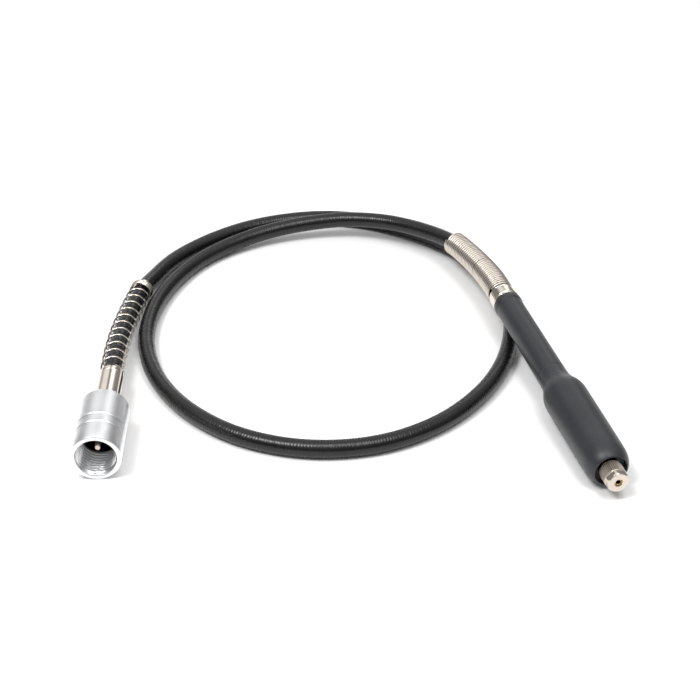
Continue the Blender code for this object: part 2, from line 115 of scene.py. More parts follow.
ROUTE = ([nut_point(t) for t in (-8.0, SHEATH_START, -20.0, -25.0, -29.5)]
         + LAY
         + [hand_point(t) for t in (FLANGE_REAR, -2.0, SHEATH_END, 7.6, 12.6)])


def between(a, b, knot_a, knot_b, t):
    return a * ((knot_b - t) / (knot_b - knot_a)) + b * ((t - knot_a) / (knot_b - knot_a))


def centripetal_spline(points, step=0.5):
    """Centripetal Catmull-Rom curve through all points but the first and last."""
    out = []
    for i in range(1, len(points) - 2):
        four = points[i - 1:i + 3]
        chords = [np.linalg.norm(four[j + 1] - four[j]) for j in range(3)]
        knots = np.concatenate(([0.0], np.cumsum([chord ** 0.5 for chord in chords])))
        count = max(2, int(chords[1] / step))
        for k in range(count):
            t = knots[1] + (knots[2] - knots[1]) * k / count
            first = [between(four[j], four[j + 1], knots[j], knots[j + 1], t)
                     for j in range(3)]
            second = [between(first[j], first[j + 1], knots[j], knots[j + 2], t)
                      for j in range(2)]
            out.append(between(second[0], second[1], knots[1], knots[2], t))
    out.append(points[-2])
    return np.array(out)


PATH = centripetal_spline(ROUTE)
# arc lengths are those of the path before smoothing
ARC = np.concatenate(([0.0], np.cumsum(np.linalg.norm(np.diff(PATH, axis=0), axis=1))))
# light smoothing keeps the fine mesh free of kinks at the design points
for _ in range(12):
    PATH[1:-1] = 0.5 * PATH[1:-1] + 0.25 * (PATH[:-2] + PATH[2:])


def along(arc):
    return np.stack([np.interp(arc, ARC, PATH[:, k]) for k in range(3)], axis=-1)


def route_frames(arc):
    """Centre, upward normal and sideways normal at arc lengths."""
    reach = 1.5                         # half the span the tangent is taken over
    tangent = along(np.minimum(arc + reach, ARC[-1])) - along(np.maximum(arc - reach, 0))
    tangent /= np.linalg.norm(tangent, axis=1)[:, None]
    vertical = np.array((0.0, 0.0, 1.0))
    up = vertical - tangent * (tangent @ vertical)[:, None]
    up /= np.linalg.norm(up, axis=1)[:, None]
    return along(arc), up, np.cross(tangent, up)


def nearest_arc(point):
    return float(ARC[np.argmin(np.linalg.norm(PATH - point, axis=1))])


ARC_SHEATH_START = nearest_arc(nut_point(SHEATH_START))
ARC_FERRULE = nearest_arc(nut_point(FERRULE_REAR))
ARC_COUPLER = nearest_arc(COUPLER_SPRING_END)
ARC_HAND = nearest_arc(HAND_SPRING_END)
ARC_FLANGE = nearest_arc(hand_point(FLANGE_REAR))
ARC_SHEATH_END = nearest_arc(hand_point(SHEATH_END))


# ------------------------------------------------------------- mesh helpers
def new_mesh(name, verts, faces, material, sharp, matrix=None, local=None):
    """A mesh in world metres.  Its "local" attribute keeps (x, y, along) for the
    materials; edges steeper than sharp degrees stay hard."""
    verts = np.asarray(verts, float)
    own = verts if local is None else local
    if matrix is not None:
        placing = np.array(matrix)
        verts = verts @ placing[:3, :3].T + placing[:3, 3]
    mesh = bpy.data.meshes.new(name)
    mesh.from_pydata([tuple(v) for v in verts], [], faces)
    keep = mesh.attributes.new("local", 'FLOAT_VECTOR', 'POINT')
    keep.data.foreach_set("vector", np.ascontiguousarray(own, dtype=np.float32).ravel())
    mesh.validate()
    mesh.update()
    ob = bpy.data.objects.new(name, mesh)
    scene.collection.objects.link(ob)
    mesh.materials.append(material)
    mesh.shade_smooth()
    mesh.set_sharp_from_angle(angle=math.radians(sharp))
    return ob


def skin(rings, closed=False):
    """Quads between successive rings of vertex numbers."""
    faces = []
    count = len(rings)
    for i in range(count if closed else count - 1):
        a, b = rings[i], rings[(i + 1) % count]
        n = len(a)
        faces += [(int(a[k]), int(a[(k + 1) % n]), int(b[(k + 1) % n]), int(b[k]))
                  for k in range(n)]
    return faces


def circle(sides):
    return TURN * np.arange(sides) / sides


def axis_matrix(origin, direction):
    """Local Z along the direction, local Y as near upright as it can be."""
    z = Vector(direction).normalized()
    up = Vector((0, 0, 1))
    y = (up - z * up.dot(z)).normalized()
    x = y.cross(z)
    matrix = Matrix((x, y, z)).transposed().to_4x4()
    matrix.translation = Vector(origin)
    return matrix


NUT_AXES = axis_matrix(NUT_ORIGIN, NUT_DIR)
HAND_AXES = axis_matrix(HAND_ORIGIN, HAND_DIR)


def fillet(profile, radius, steps=4):
    """Rounds every corner of a closed outline with a small curve."""
    out = []
    count = len(profile)
    for i in range(count):
        corner = np.array(profile[i], float)
        back = np.array(profile[i - 1], float) - corner
        ahead = np.array(profile[(i + 1) % count], float) - corner
        len_back, len_ahead = np.linalg.norm(back), np.linalg.norm(ahead)
        cut = min(radius, 0.45 * len_back, 0.45 * len_ahead)
        start = corner + back / len_back * cut
        end = corner + ahead / len_ahead * cut
        for k in range(steps + 1):
            t = k / steps
            out.append((1 - t) ** 2 * start + 2 * t * (1 - t) * corner + t ** 2 * end)
    return out


def smooth_profile(points, step):
    """Catmull-Rom through (radius, station) points."""
    q = [np.array(point, float) for point in points]
    q = [2 * q[0] - q[1]] + q + [2 * q[-1] - q[-2]]
    out = []
    for i in range(1, len(q) - 2):
        count = max(1, int(np.linalg.norm(q[i + 1] - q[i]) / step))
        for k in range(count):
            t = k / count
            out.append(0.5 * ((2 * q[i]) + (-q[i - 1] + q[i + 1]) * t
                              + (2 * q[i - 1] - 5 * q[i] + 4 * q[i + 1] - q[i + 2]) * t ** 2
                              + (-q[i - 1] + 3 * q[i] - 3 * q[i + 1] + q[i + 2]) * t ** 3))
    out.append(q[-2])
    return [tuple(point) for point in out]


def turned(name, profile, material, matrix, segments, shape=None, sharp=40.0):
    """A turned ring from a closed outline of (radius, station).
    shape(angle, r, z) gives each point's final radius."""
    profile = np.array(profile, float)
    angle = circle(segments)
    r = np.repeat(profile[:, 0][:, None], segments, 1)
    z = np.repeat(profile[:, 1][:, None], segments, 1)
    if shape is not None:
        r = shape(angle[None, :], r, z)
    verts = np.stack((r * np.cos(angle) * MM, r * np.sin(angle) * MM, z * MM), -1)
    rings = np.arange(len(profile) * segments).reshape(len(profile), segments)
    faces = skin(list(rings), closed=True)
    # an outline that runs clockwise in (r, z) faces the other way
    area = 0.5 * np.sum(profile[:, 0] * np.roll(profile[:, 1], -1)
                        - np.roll(profile[:, 0], -1) * profile[:, 1])
    if area < 0:
        faces = [face[::-1] for face in faces]
    return new_mesh(name, verts.reshape(-1, 3), faces, material, sharp, matrix)


def tube_wall(arc, radius, sides):
    """Points of one tube wall, laid along the route and straightened out."""
    centre, up, side = route_frames(arc)
    cos, sin = np.cos(circle(sides)), np.sin(circle(sides))
    radius = np.broadcast_to(radius, (len(arc), sides))
    laid = (centre[:, None, :] + (up[:, None, :] * cos[None, :, None]
            + side[:, None, :] * sin[None, :, None]) * radius[:, :, None])
    straight = np.stack((radius * cos, radius * sin,
                         np.broadcast_to(arc[:, None], radius.shape)), -1)
    return laid.reshape(-1, 3), straight.reshape(-1, 3)


def route_tube(name, start, end, material, radius, bore, sides=40, step=0.35):
    """A closed tube along the route; radius is a function of (arc, angle)."""
    bore_step = 6.0
    arc = np.linspace(start, end, max(4, int(round((end - start) / step))) + 1)
    arc_back = np.linspace(end, start, max(2, int(round((end - start) / bore_step))) + 1)
    outer, outer_straight = tube_wall(arc, radius(arc[:, None], circle(sides)[None, :]), sides)
    inner, inner_straight = tube_wall(arc_back, bore, sides)
    verts = (np.concatenate((outer, inner)) + SHIFT) * MM
    faces = skin(list(np.arange(len(verts)).reshape(-1, sides)), closed=True)
    return new_mesh(name, verts, faces, material, 50.0,
                    local=np.concatenate((outer_straight, inner_straight)) * MM)


def coil(name, material, arc_of, radius_of, wire, turns, per_turn, sides, phase, wide=None):
    """A helical wire; arc_of and radius_of give its arc length and mean radius per
    turn count.  wire is the wire's radius, wide its half width along the spring."""
    wide = wire if wide is None else wide
    turn = np.linspace(0, turns, int(turns * per_turn) + 1)
    radius = radius_of(turn)
    centre, up, side = route_frames(arc_of(turn))
    angle = TURN * turn + phase
    outward = up * np.cos(angle)[:, None] + side * np.sin(angle)[:, None]
    middle = centre + outward * radius[:, None]
    tangent = np.gradient(middle, axis=0)
    tangent /= np.linalg.norm(tangent, axis=1)[:, None]
    normal = outward - tangent * np.sum(outward * tangent, 1)[:, None]
    normal /= np.linalg.norm(normal, axis=1)[:, None]
    across = np.cross(tangent, normal)
    cos, sin = np.cos(circle(sides)), np.sin(circle(sides))
    verts = (middle[:, None, :] + normal[:, None, :] * (wire * cos)[None, :, None]
             + across[:, None, :] * (wide * sin)[None, :, None]).reshape(-1, 3)
    rings = np.arange(len(verts)).reshape(-1, sides)
    faces = skin(list(rings))
    faces.append(tuple(int(i) for i in rings[0][::-1]))
    faces.append(tuple(int(i) for i in rings[-1]))
    # local Z runs along the wire, so long thin marks follow the winding
    run = TURN * turn * radius
    shape = (len(run), sides)
    local = np.stack((np.broadcast_to(cos * wire, shape), np.broadcast_to(sin * wire, shape),
                      np.broadcast_to(run[:, None], shape)), -1)
    return new_mesh(name, (verts + SHIFT) * MM, faces, material, 60.0,
                    local=local.reshape(-1, 3) * MM)


def fit(ob, body, solid=None):
    """Tells the frame which body a piece rides and the solid it replaces."""
    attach(ob, body)
    if solid is not None:
        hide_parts(solid)


# ---------------------------------------------------------- material helpers
class Shader:
    """Node building for one material.  stored picks the meshes' "local" attribute
    for the textures; otherwise they use the object's coordinates."""

    def __init__(self, name, stored):
        self.material = bpy.data.materials.new(name)
        self.material.use_nodes = True
        self.tree = self.material.node_tree
        self.surface = self.tree.nodes["Principled BSDF"]
        if stored:
            attribute = self.node("Attribute")
            attribute.attribute_name = "local"
            self.where = attribute.outputs["Vector"]
        else:
            self.where = self.node("TexCoord").outputs["Object"]

    def node(self, kind):
        return self.tree.nodes.new("ShaderNode" + kind)

    def feed(self, socket, value):
        """Links an output, or sets a number or an RGB colour."""
        if isinstance(value, tuple):
            socket.default_value = (*value, 1.0)
        elif isinstance(value, (int, float)):
            socket.default_value = value
        else:
            self.tree.links.new(value, socket)

    def set(self, key, value):
        self.feed(self.surface.inputs[key], value)

    def noise(self, scale, detail=3.0, rough=0.5, stretch=None):
        node = self.node("TexNoise")
        node.inputs["Scale"].default_value = scale
        node.inputs["Detail"].default_value = detail
        node.inputs["Roughness"].default_value = rough
        source = self.where
        if stretch is not None:
            mapping = self.node("Mapping")
            mapping.inputs["Scale"].default_value = stretch
            self.feed(mapping.inputs["Vector"], source)
            source = mapping.outputs["Vector"]
        self.feed(node.inputs["Vector"], source)
        return node.outputs["Fac"]

    def remap(self, value, source=(0.0, 1.0), to=(0.0, 1.0)):
        node = self.node("MapRange")
        node.inputs["From Min"].default_value = source[0]
        node.inputs["From Max"].default_value = source[1]
        node.inputs["To Min"].default_value = to[0]
        node.inputs["To Max"].default_value = to[1]
        self.feed(node.inputs["Value"], value)
        return node.outputs["Result"]

    def fade(self, value, *ends):
        """Runs between two (place in mm, result) ends, given in any order."""
        (low, at_low), (high, at_high) = sorted(ends)
        return self.remap(value, source=(low * MM, high * MM), to=(at_low, at_high))

    def math(self, operation, a, b=0.0):
        node = self.node("Math")
        node.operation = operation
        self.feed(node.inputs[0], a)
        self.feed(node.inputs[1], b)
        return node.outputs[0]

    def mix(self, factor, a, b):
        node = self.node("Mix")
        node.data_type = 'RGBA'
        # sockets 0, 6 and 7 are the factor and the two colours
        for i, value in ((0, factor), (6, a), (7, b)):
            self.feed(node.inputs[i], value)
        return node.outputs[2]

    def bump(self, height, strength, distance, below=None):
        node = self.node("Bump")
        node.inputs["Strength"].default_value = strength
        node.inputs["Distance"].default_value = distance
        self.feed(node.inputs["Height"], height)
        if below is not None:
            self.feed(node.inputs["Normal"], below)
        return node.outputs["Normal"]

    def axis(self, k):
        node = self.node("SeparateXYZ")
        self.feed(node.inputs["Vector"], self.where)
        return node.outputs[k]

    def axis_distance(self):
        """Distance from the local Z axis."""
        squares = [self.math("POWER", self.axis(k), 2.0) for k in range(2)]
        return self.math("SQRT", self.math("ADD", *squares))


def scaled(colour, factor):
    return tuple(c * factor for c in colour)


# ----------------------------------------------------------------- materials
def vinyl(name, stored=True):
    """Glossy black casing with pale scuffs, drawn out lengthwise on fine meshes."""
    n = Shader(name, stored)
    cloud = n.noise(scale=60.0)
    fine = n.noise(scale=1600.0, detail=4.0, rough=0.6)
    medium = n.noise(scale=420.0, rough=0.6)
    scuff = n.noise(scale=700.0, detail=5.0, rough=0.7,
                    stretch=(3.0, 3.0, 0.35) if stored else None)
    base = n.mix(n.remap(cloud, source=(0.3, 0.7)),
                 (0.0022, 0.0022, 0.0026), (0.0052, 0.0051, 0.0052))
    base = n.mix(n.remap(scuff, source=(0.66, 0.80), to=(0.0, 0.25)),
                 base, (0.045, 0.045, 0.047))
    n.set("Base Color", base)
    n.set("Roughness", n.math("ADD", n.remap(fine, to=(0.20, 0.34)),
                              n.remap(medium, to=(-0.07, 0.09))))
    n.set("Specular IOR Level", 0.46)
    relief = n.bump(medium, strength=0.42, distance=0.00016)
    n.set("Normal", n.bump(fine, strength=0.22, distance=0.00004, below=relief))
    return n.material


def rubber(name, stored=True):
    """Dark blue-grey grip with a trace of dust."""
    n = Shader(name, stored)
    cloud = n.noise(scale=45.0, detail=2.0)
    fine = n.noise(scale=2600.0, detail=5.0, rough=0.65)
    dust = n.noise(scale=900.0, detail=6.0, rough=0.7)
    base = n.mix(n.remap(cloud, source=(0.3, 0.7)),
                 (0.0135, 0.0142, 0.0185), (0.0185, 0.0194, 0.0242))
    base = n.mix(n.remap(dust, source=(0.54, 0.76), to=(0.0, 0.38)),
                 base, (0.062, 0.063, 0.069))
    n.set("Base Color", base)
    n.set("Roughness", n.remap(fine, to=(0.38, 0.52)))
    n.set("Specular IOR Level", 0.50)
    n.set("Sheen Weight", 0.05)
    n.set("Sheen Roughness", 0.5)
    n.set("Normal", n.bump(fine, strength=0.35, distance=0.00006))
    return n.material


def painted_cavity_shade(n, base, radius, full, clear, start=-50.0, deep=(0.012, 0.011, 0.010)):
    """Painted shade for surfaces inside bores and recesses: within radius and past station start, turns to
    the deep colour: fully at station full, not at all at station clear (mm)."""
    inner = n.math("LESS_THAN", n.axis_distance(), radius * MM)
    lengthwise = n.fade(n.axis(2), (full, 1.0), (clear, 0.0))
    cavity_shade = n.math("MULTIPLY", n.math("MULTIPLY", inner, lengthwise),
                  n.math("GREATER_THAN", n.axis(2), start * MM))
    return n.mix(cavity_shade, base, deep)


def flank_dirt_and_shade(n, base, clean, darkest):
    """Dirt and painted shade on the flanks of a wound wire, where the turns meet, growing between two half widths
    (mm).
    """
    flank = n.fade(n.math("ABSOLUTE", n.axis(1)), (clean, 0.0), (darkest, 1.0))
    return n.mix(n.math("MULTIPLY", flank, 0.70), base, (0.120, 0.100, 0.085))


def dark_roots(n, base, dark, clean, darkest, start, end, strength):
    """Painted shade in cut grooves: darkens them from the clean radius to the darkest one, between the
    stations start and end (mm)."""
    r = n.axis_distance()
    low = n.fade(r, (clean, 0.0), (darkest, strength))
    low = n.math("MULTIPLY", low, n.math("GREATER_THAN", n.axis(2), start * MM))
    low = n.math("MULTIPLY", low, n.math("LESS_THAN", n.axis(2), end * MM))
    low = n.math("MULTIPLY", low, n.math("LESS_THAN", r, (max(clean, darkest) + 0.25) * MM))
    return n.mix(low, base, scaled(dark, 0.12))


# shade paints shade into bores, seam paints dirt and shade onto the wire flanks between turns, roots paints shade
# into cut grooves
def metal(name, colours, rough, scratch=1.0, stretch=(1, 1, 12), lathe=None, shade=None,
          matt=None, seam=None, roots=None, stored=True):
    """Bare or plated metal, mottled between its clean and dark colours.
    shade, seam and roots are arguments of painted_cavity_shade, flank_dirt_and_shade and dark_roots;
    lathe adds turning lines and matt extra roughness before a station."""
    colour, dark = colours
    n = Shader(name, stored)
    cloud = n.noise(scale=90.0, detail=4.0, rough=0.6)
    streak = n.noise(scale=1500.0, rough=0.6, stretch=stretch)
    smudge = n.noise(scale=260.0, detail=5.0, rough=0.65)
    pits = n.noise(scale=2300.0, detail=5.0, rough=0.7)
    base = n.mix(n.remap(cloud, source=(0.35, 0.75), to=(0.0, 0.5)), colour, dark)
    base = n.mix(n.remap(pits, source=(0.66, 0.80), to=(0.0, 0.35)), base, scaled(dark, 0.45))
    if shade is not None:
        base = painted_cavity_shade(n, base, **shade)
    if seam is not None:
        base = flank_dirt_and_shade(n, base, **seam)
    if roots is not None:
        base = dark_roots(n, base, dark, **roots)
    n.set("Base Color", base)
    n.set("Metallic", 1.0)
    roughness = n.math("ADD", n.remap(smudge, to=(rough - 0.04, rough + 0.06)),
                       n.remap(streak, to=(-0.03, 0.05)))
    if matt is not None:
        roughness = n.math("ADD", roughness, n.fade(
            n.axis(2), (matt["full"], matt["extra"]), (matt["clear"], 0.0)))
    n.set("Roughness", roughness)
    relief = n.bump(streak, strength=0.12 * scratch, distance=0.00003)
    if lathe is not None:
        wave = n.math("SINE", n.math("MULTIPLY", n.axis(2),
                                     2 * math.pi / (lathe["pitch"] * MM)))
        relief = n.bump(wave, strength=lathe["strength"], distance=0.00002, below=relief)
    n.set("Normal", relief)
    return n.material


def plastic(name, colours, rough, stored=True):
    n = Shader(name, stored)
    cloud = n.noise(scale=120.0)
    fine = n.noise(scale=2000.0, detail=4.0)
    n.set("Base Color", n.mix(n.remap(cloud, source=(0.3, 0.7)), *colours))
    n.set("Roughness", n.remap(fine, to=(rough - 0.05, rough + 0.08)))
    n.set("Normal", n.bump(fine, strength=0.2, distance=0.00004))
    return n.material


# (clean, dark) colours
NICKEL = ((0.80, 0.73, 0.66), (0.68, 0.61, 0.53))
SPRING = ((0.84, 0.765, 0.69), (0.72, 0.64, 0.56))
CLOSE_SPRING = ((0.80, 0.725, 0.65), (0.68, 0.605, 0.53))
ALUMINIUM = ((0.88, 0.885, 0.90), (0.80, 0.805, 0.82))
BARREL = ((0.84, 0.85, 0.87), (0.75, 0.76, 0.78))
DRIVE_TIP = ((0.74, 0.62, 0.55), (0.55, 0.45, 0.40))
STEEL = ((0.60, 0.60, 0.61), (0.48, 0.48, 0.49))
COLLET_NUT = ((0.70, 0.63, 0.55), (0.52, 0.46, 0.39))
BRASS = ((0.85, 0.60, 0.24), (0.66, 0.44, 0.15))
BRONZE = ((0.30, 0.19, 0.09), (0.20, 0.12, 0.05))
BLACK = ((0.010, 0.010, 0.011), (0.022, 0.021, 0.020))
LINER = ((0.62, 0.61, 0.57), (0.72, 0.71, 0.67))
ALONG_WIRE = (1, 1, 0.15)       # draws the streaks out along a wound wire

FINE = {
    "vinyl": vinyl("casing_vinyl"),
    "rubber": rubber("grip_rubber"),
    "nickel": metal("nickel_polished", NICKEL, rough=0.13, scratch=0.6),
    # painted shade on the part of the ferrule that sits inside the nut
    "ferrule": metal("nickel_ferrule", NICKEL, rough=0.13, scratch=0.6,
                     shade=dict(radius=12.0, full=4.0, clear=2.0)),
    "spring": metal("nickel_spring_wire", SPRING, rough=0.20, stretch=ALONG_WIRE),
    # dirt and painted shade on the wire flanks between the turns
    "close_spring": metal("nickel_close_wound", CLOSE_SPRING, rough=0.28,
                          stretch=ALONG_WIRE, seam=dict(clean=0.26, darkest=0.42)),
    "nut": metal("aluminium_turned", ALUMINIUM, rough=0.30, stretch=(1, 1, 20),
                 lathe=dict(pitch=0.28, strength=0.5),
                 # painted shade in the nut's bore beyond the thread
                 shade=dict(radius=10.2, full=22.4, clear=24.0, start=3.9),
                 # painted shade in the thread roots
                 roots=dict(clean=8.95, darkest=9.40, start=23.4, end=38.9, strength=0.60)),
    # painted shade: the shank behind the tip's end is darkened to stand in for the shade inside the nut
    "tip": metal("steel_drive_tip", DRIVE_TIP, rough=0.30,
                 shade=dict(radius=4.0, full=29.0, clear=30.6, deep=(0.085, 0.072, 0.064))),
    # a spare, on no piece
    "steel": metal("steel_ground", STEEL, rough=0.25),
    "collet_nut": metal("nickel_collet_nut", COLLET_NUT, rough=0.24,
                        matt=dict(full=150.7, clear=151.5, extra=0.30),
                        # painted shade in the knurl's valleys
                        roots=dict(clean=5.36, darkest=5.08, start=144.7, end=150.9,
                                   strength=0.92)),
    "brass": metal("brass_collet", BRASS, rough=0.25),
    "black": plastic("black_oxide", BLACK, rough=0.45),
}

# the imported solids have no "local" attribute, so theirs are separate copies
PACKED = {
    "casing": vinyl("casing_vinyl_solid", stored=False),
    "rubber": rubber("grip_rubber_solid", stored=False),
    "liner": plastic("liner_plastic_solid", LINER, rough=0.45, stored=False),
    "nickel": metal("nickel_solid", NICKEL, rough=0.15, scratch=0.6, stored=False),
    "aluminium": metal("aluminium_solid", ALUMINIUM, rough=0.30, stored=False),
    "barrel": metal("aluminium_barrel_solid", BARREL, rough=0.32, stored=False),
    "steel": metal("steel_solid", STEEL, rough=0.25, stored=False),
    "black_steel": plastic("black_oxide_solid", BLACK, rough=0.45, stored=False),
    "bronze": metal("bronze_bush_solid", BRONZE, rough=0.45, stored=False),
    "brass": metal("brass_solid", BRASS, rough=0.25, stored=False),
}
slot_of = {part["node"]: part["material_slot"] for part in frame["record"]["subparts"]}
for name, ob in frame["nodes"].items():
    ob.data.materials.clear()
    ob.data.materials.append(PACKED[slot_of[name]])

# ------------------------------------------------------------------- casing
RIB_PITCH = 1.45
CASING_RADIUS = 4.265
RIB_HEIGHT = 0.095
LUMP_HEIGHT = 0.006
CASING_BORE = 3.35
LUMP_STATIONS = 160

rng = np.random.default_rng(7)
rib_count = int(ARC[-1] / RIB_PITCH) + 4
rib_height = 0.6 + 0.8 * rng.random(rib_count)
rib_offset = (rng.random(rib_count) - 0.5) * 0.35
lump_arc = np.linspace(0, ARC[-1] + 5, LUMP_STATIONS)
lump_size = rng.normal(0, 1, (LUMP_STATIONS, 6))    # cosine and sine parts, in pairs


def casing_radius(arc, angle):
    """Shallow, slightly uneven ribs on a faintly lumpy round."""
    ribs = (arc + 0.25 * np.sin(angle + arc * 0.09)) / RIB_PITCH
    i = np.clip(np.floor(ribs).astype(int), 0, rib_count - 2)
    phase = ribs - i - rib_offset[i] * 0.5
    wave = 0.5 - 0.5 * np.cos(TURN * np.clip(phase, 0, 1))
    lump = np.zeros(np.broadcast(arc, angle).shape)
    for k in range(3):
        cos_part = np.interp(arc, lump_arc, lump_size[:, 2 * k])
        sin_part = np.interp(arc, lump_arc, lump_size[:, 2 * k + 1])
        lump = lump + cos_part * np.cos((k + 2) * angle) + sin_part * np.sin((k + 2) * angle)
    return CASING_RADIUS + RIB_HEIGHT * rib_height[i] * wave + LUMP_HEIGHT * lump


# each bend runs from one body into the next and is left unattached; distances from the spring ends
BEND_START, BEND_MIDDLE, BEND_END = 0.6, 24.0, 47.4
CASING_CUTS = [
    ARC_SHEATH_START,
    ARC_COUPLER + BEND_START, ARC_COUPLER + BEND_MIDDLE, ARC_COUPLER + BEND_END,
    ARC_HAND - BEND_END, ARC_HAND - BEND_MIDDLE, ARC_HAND - BEND_START,
    ARC_SHEATH_END,
]
# name, body, body it blends into, solid it replaces; one run between each two cuts
CASING_RUNS = [
    ("casing_coupler_end", "coupler", None, "coupler_end_sheath"),
    ("casing_coupler_bend_up", "coupler", "coupler_link", None),
    ("casing_coupler_bend_side", "coupler_link", "shaft_loop", "coupler_link_sheath"),
    ("casing_loop", "shaft_loop", None, "loop_sheath"),
    ("casing_handpiece_bend_side", "shaft_loop", "handpiece_link", "handpiece_link_sheath"),
    ("casing_handpiece_bend_up", "handpiece_link", "handpiece", None),
    ("casing_handpiece_end", "handpiece", None, "handpiece_end_sheath"),
]
for (name, body, next_body, solid), start, end in zip(
        CASING_RUNS, CASING_CUTS[:-1], CASING_CUTS[1:]):
    run = route_tube(name, start, end, FINE["vinyl"], casing_radius, CASING_BORE)
    if next_body is None:
        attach(run, body)
    else:
        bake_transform(run)
    if solid is not None:
        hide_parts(solid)

# ------------------------------------------------------------ coupling end
SPRING_RADIUS = 5.62
OPEN_TURNS = 11.8
OPEN_START = ARC_FERRULE + 0.9
OPEN_END = ARC_COUPLER - 4.6            # the end coils carry on from here
SHELL_LENGTH = 1.9


def open_arc(turn):
    """Even turns, the first one closing up against the ferrule."""
    share = turn / OPEN_TURNS
    opened = 0.5 * (1 - np.cos(np.pi * np.clip(turn / 0.9, 0, 1)))
    return OPEN_START + (OPEN_END - OPEN_START) * (
        share * opened + (1 - opened) * share * 0.35)


fit(coil("open_spring_wire", FINE["spring"], open_arc,
         lambda turn: np.full(len(turn), SPRING_RADIUS),
         wire=0.47, turns=OPEN_TURNS, per_turn=40, sides=10, phase=0.4),
    "coupler", "coupler_spring")

fit(coil("spring_end_coils", FINE["spring"], lambda turn: OPEN_END + turn * 1.0,
         lambda turn: np.full(len(turn), SPRING_RADIUS + 0.06),
         wire=0.48, turns=2.6, per_turn=48, sides=10, phase=0.2),
    "coupler")


def shell_radius(arc, angle):
    """A flat-topped bulge, falling away at both ends."""
    across = 2 * (arc - (ARC_COUPLER - SHELL_LENGTH)) / SHELL_LENGTH - 1
    return 6.05 + 0.22 * np.sqrt(np.clip(1 - across ** 4, 0, 1))


fit(route_tube("spring_end_ring_shell", ARC_COUPLER - SHELL_LENGTH, ARC_COUPLER,
               FINE["nickel"], shell_radius, bore=4.75, sides=72, step=0.12),
    "coupler", "spring_end_ring")

# all turned outlines below are (radius, station)
FERRULE = [
    (5.95, FERRULE_REAR), (5.95, -26.2), (5.7, -26.0), (5.7, -25.7), (6.4, -25.4),
    (6.4, 5.4), (8.3, 5.4), (8.3, 7.4), (6.4, 7.4), (6.4, 12.0),
    (3.4, 12.0), (3.4, -14.0), (4.9, -14.0), (4.9, FERRULE_REAR),
]
fit(turned("casing_ferrule", fillet(FERRULE, 0.28), FINE["ferrule"], NUT_AXES, 128),
    "coupler", "coupler_ferrule")

# coupling nut: turned outside, right-hand thread inside the mouth
NUT_RADIUS, NUT_LENGTH = 11.75, 40.1
THREAD_PITCH, ROWS_PER_PITCH = 2.0, 15
THREAD_MARK = 9.0               # outline radius that thread_shape replaces
THREAD_CREST, THREAD_DEPTH = 8.62, 0.88


def groove(middle, width=1.25, depth=0.20):
    """A shallow groove round the nut, with a small raised edge on each side."""
    edge, floor_edge = width / 2, width / 4
    return [(NUT_RADIUS, middle - edge - 0.12), (NUT_RADIUS + 0.02, middle - edge),
            (NUT_RADIUS - depth, middle - floor_edge), (NUT_RADIUS - depth, middle + floor_edge),
            (NUT_RADIUS + 0.02, middle + edge), (NUT_RADIUS, middle + edge + 0.12)]


NUT_OUTER = (
    [(6.95, 0.0), (10.0, 0.0), (10.75, 0.12), (11.3, 0.45), (11.62, 0.95),
     (NUT_RADIUS, 1.7), (NUT_RADIUS, 8.0), (NUT_RADIUS, 14.0)]
    + groove(20.5) + groove(27.0)
    + [(NUT_RADIUS, 32.0), (NUT_RADIUS, 39.6), (NUT_RADIUS - 0.15, 39.95),
       (NUT_RADIUS - 0.4, NUT_LENGTH), (9.95, NUT_LENGTH), (9.6, 39.9), (9.25, 39.2)])
NUT_INNER = (
    [(THREAD_MARK, z) for z in np.arange(39.1, 23.3, -THREAD_PITCH / ROWS_PER_PITCH)]
    + [(8.8, 23.0), (9.3, 22.2), (9.3, 4.4), (9.0, 4.0), (7.1, 4.0), (6.95, 3.8)])


def thread_shape(angle, r, z):
    """Cuts the thread, fading its crests out at the mouth."""
    phase = (z / THREAD_PITCH - angle / TURN) % 1.0
    tooth = np.clip(np.abs(2 * phase - 1) * 1.55 - 0.28, 0, 1)      # 0 crest, 1 root
    cut = THREAD_CREST + THREAD_DEPTH * tooth
    threaded = (np.abs(r - THREAD_MARK) < 1e-6) & (z > 23.1) & (z < 39.15)
    fade = np.clip((39.15 - z) / 1.2, 0, 1)
    return np.where(threaded, cut * fade + np.maximum(cut, 9.25) * (1 - fade), r)


fit(turned("coupling_nut_body", NUT_OUTER + NUT_INNER, FINE["nut"], NUT_AXES, 144,
           shape=thread_shape, sharp=32.0),
    "coupling_nut", "coupling_nut")

TIP_RADIUS = 1.6
TIP = [
    (0.02, -12.5), (TIP_RADIUS, -12.5), (TIP_RADIUS, 21.9), (TIP_RADIUS, 22.1),
    (TIP_RADIUS, 31.4), (1.15, 32.0), (0.02, 32.0),
]


def tip_shape(angle, r, z):
    """Two small driving flats ground on the end of the tip."""
    flat = 1.25 / np.maximum(np.abs(np.cos(angle)), 1e-3)
    return np.where((z > 22.0) & (r > 0.5), np.minimum(r, flat), r)


fit(turned("drive_tip_ground", fillet(TIP, 0.1), FINE["tip"], NUT_AXES, 48, shape=tip_shape),
    "drive_tip", "drive_tip")

# --------------------------------------------------------------- handpiece
CLOSE_START, CLOSE_END = ARC_HAND + 0.5, ARC_FLANGE - 0.6
CLOSE_TURNS = int((CLOSE_END - CLOSE_START) / 1.78)


def close_arc(turn):
    """Even turns, slightly opened a little past the middle."""
    share = turn / CLOSE_TURNS
    opened = share + 0.004 * np.tanh((share - 0.56) * 60.0) - 0.004 * (2 * share - 1)
    return CLOSE_START + (CLOSE_END - CLOSE_START) * opened


def close_radius(turn):
    """Widens towards the handpiece, with a slight swell and wobble."""
    share = turn / CLOSE_TURNS
    swell = np.exp(-((share - 0.72) / 0.16) ** 2)
    return 6.04 + 0.46 * share + 0.12 * swell + 0.02 * np.sin(turn * 2.1)


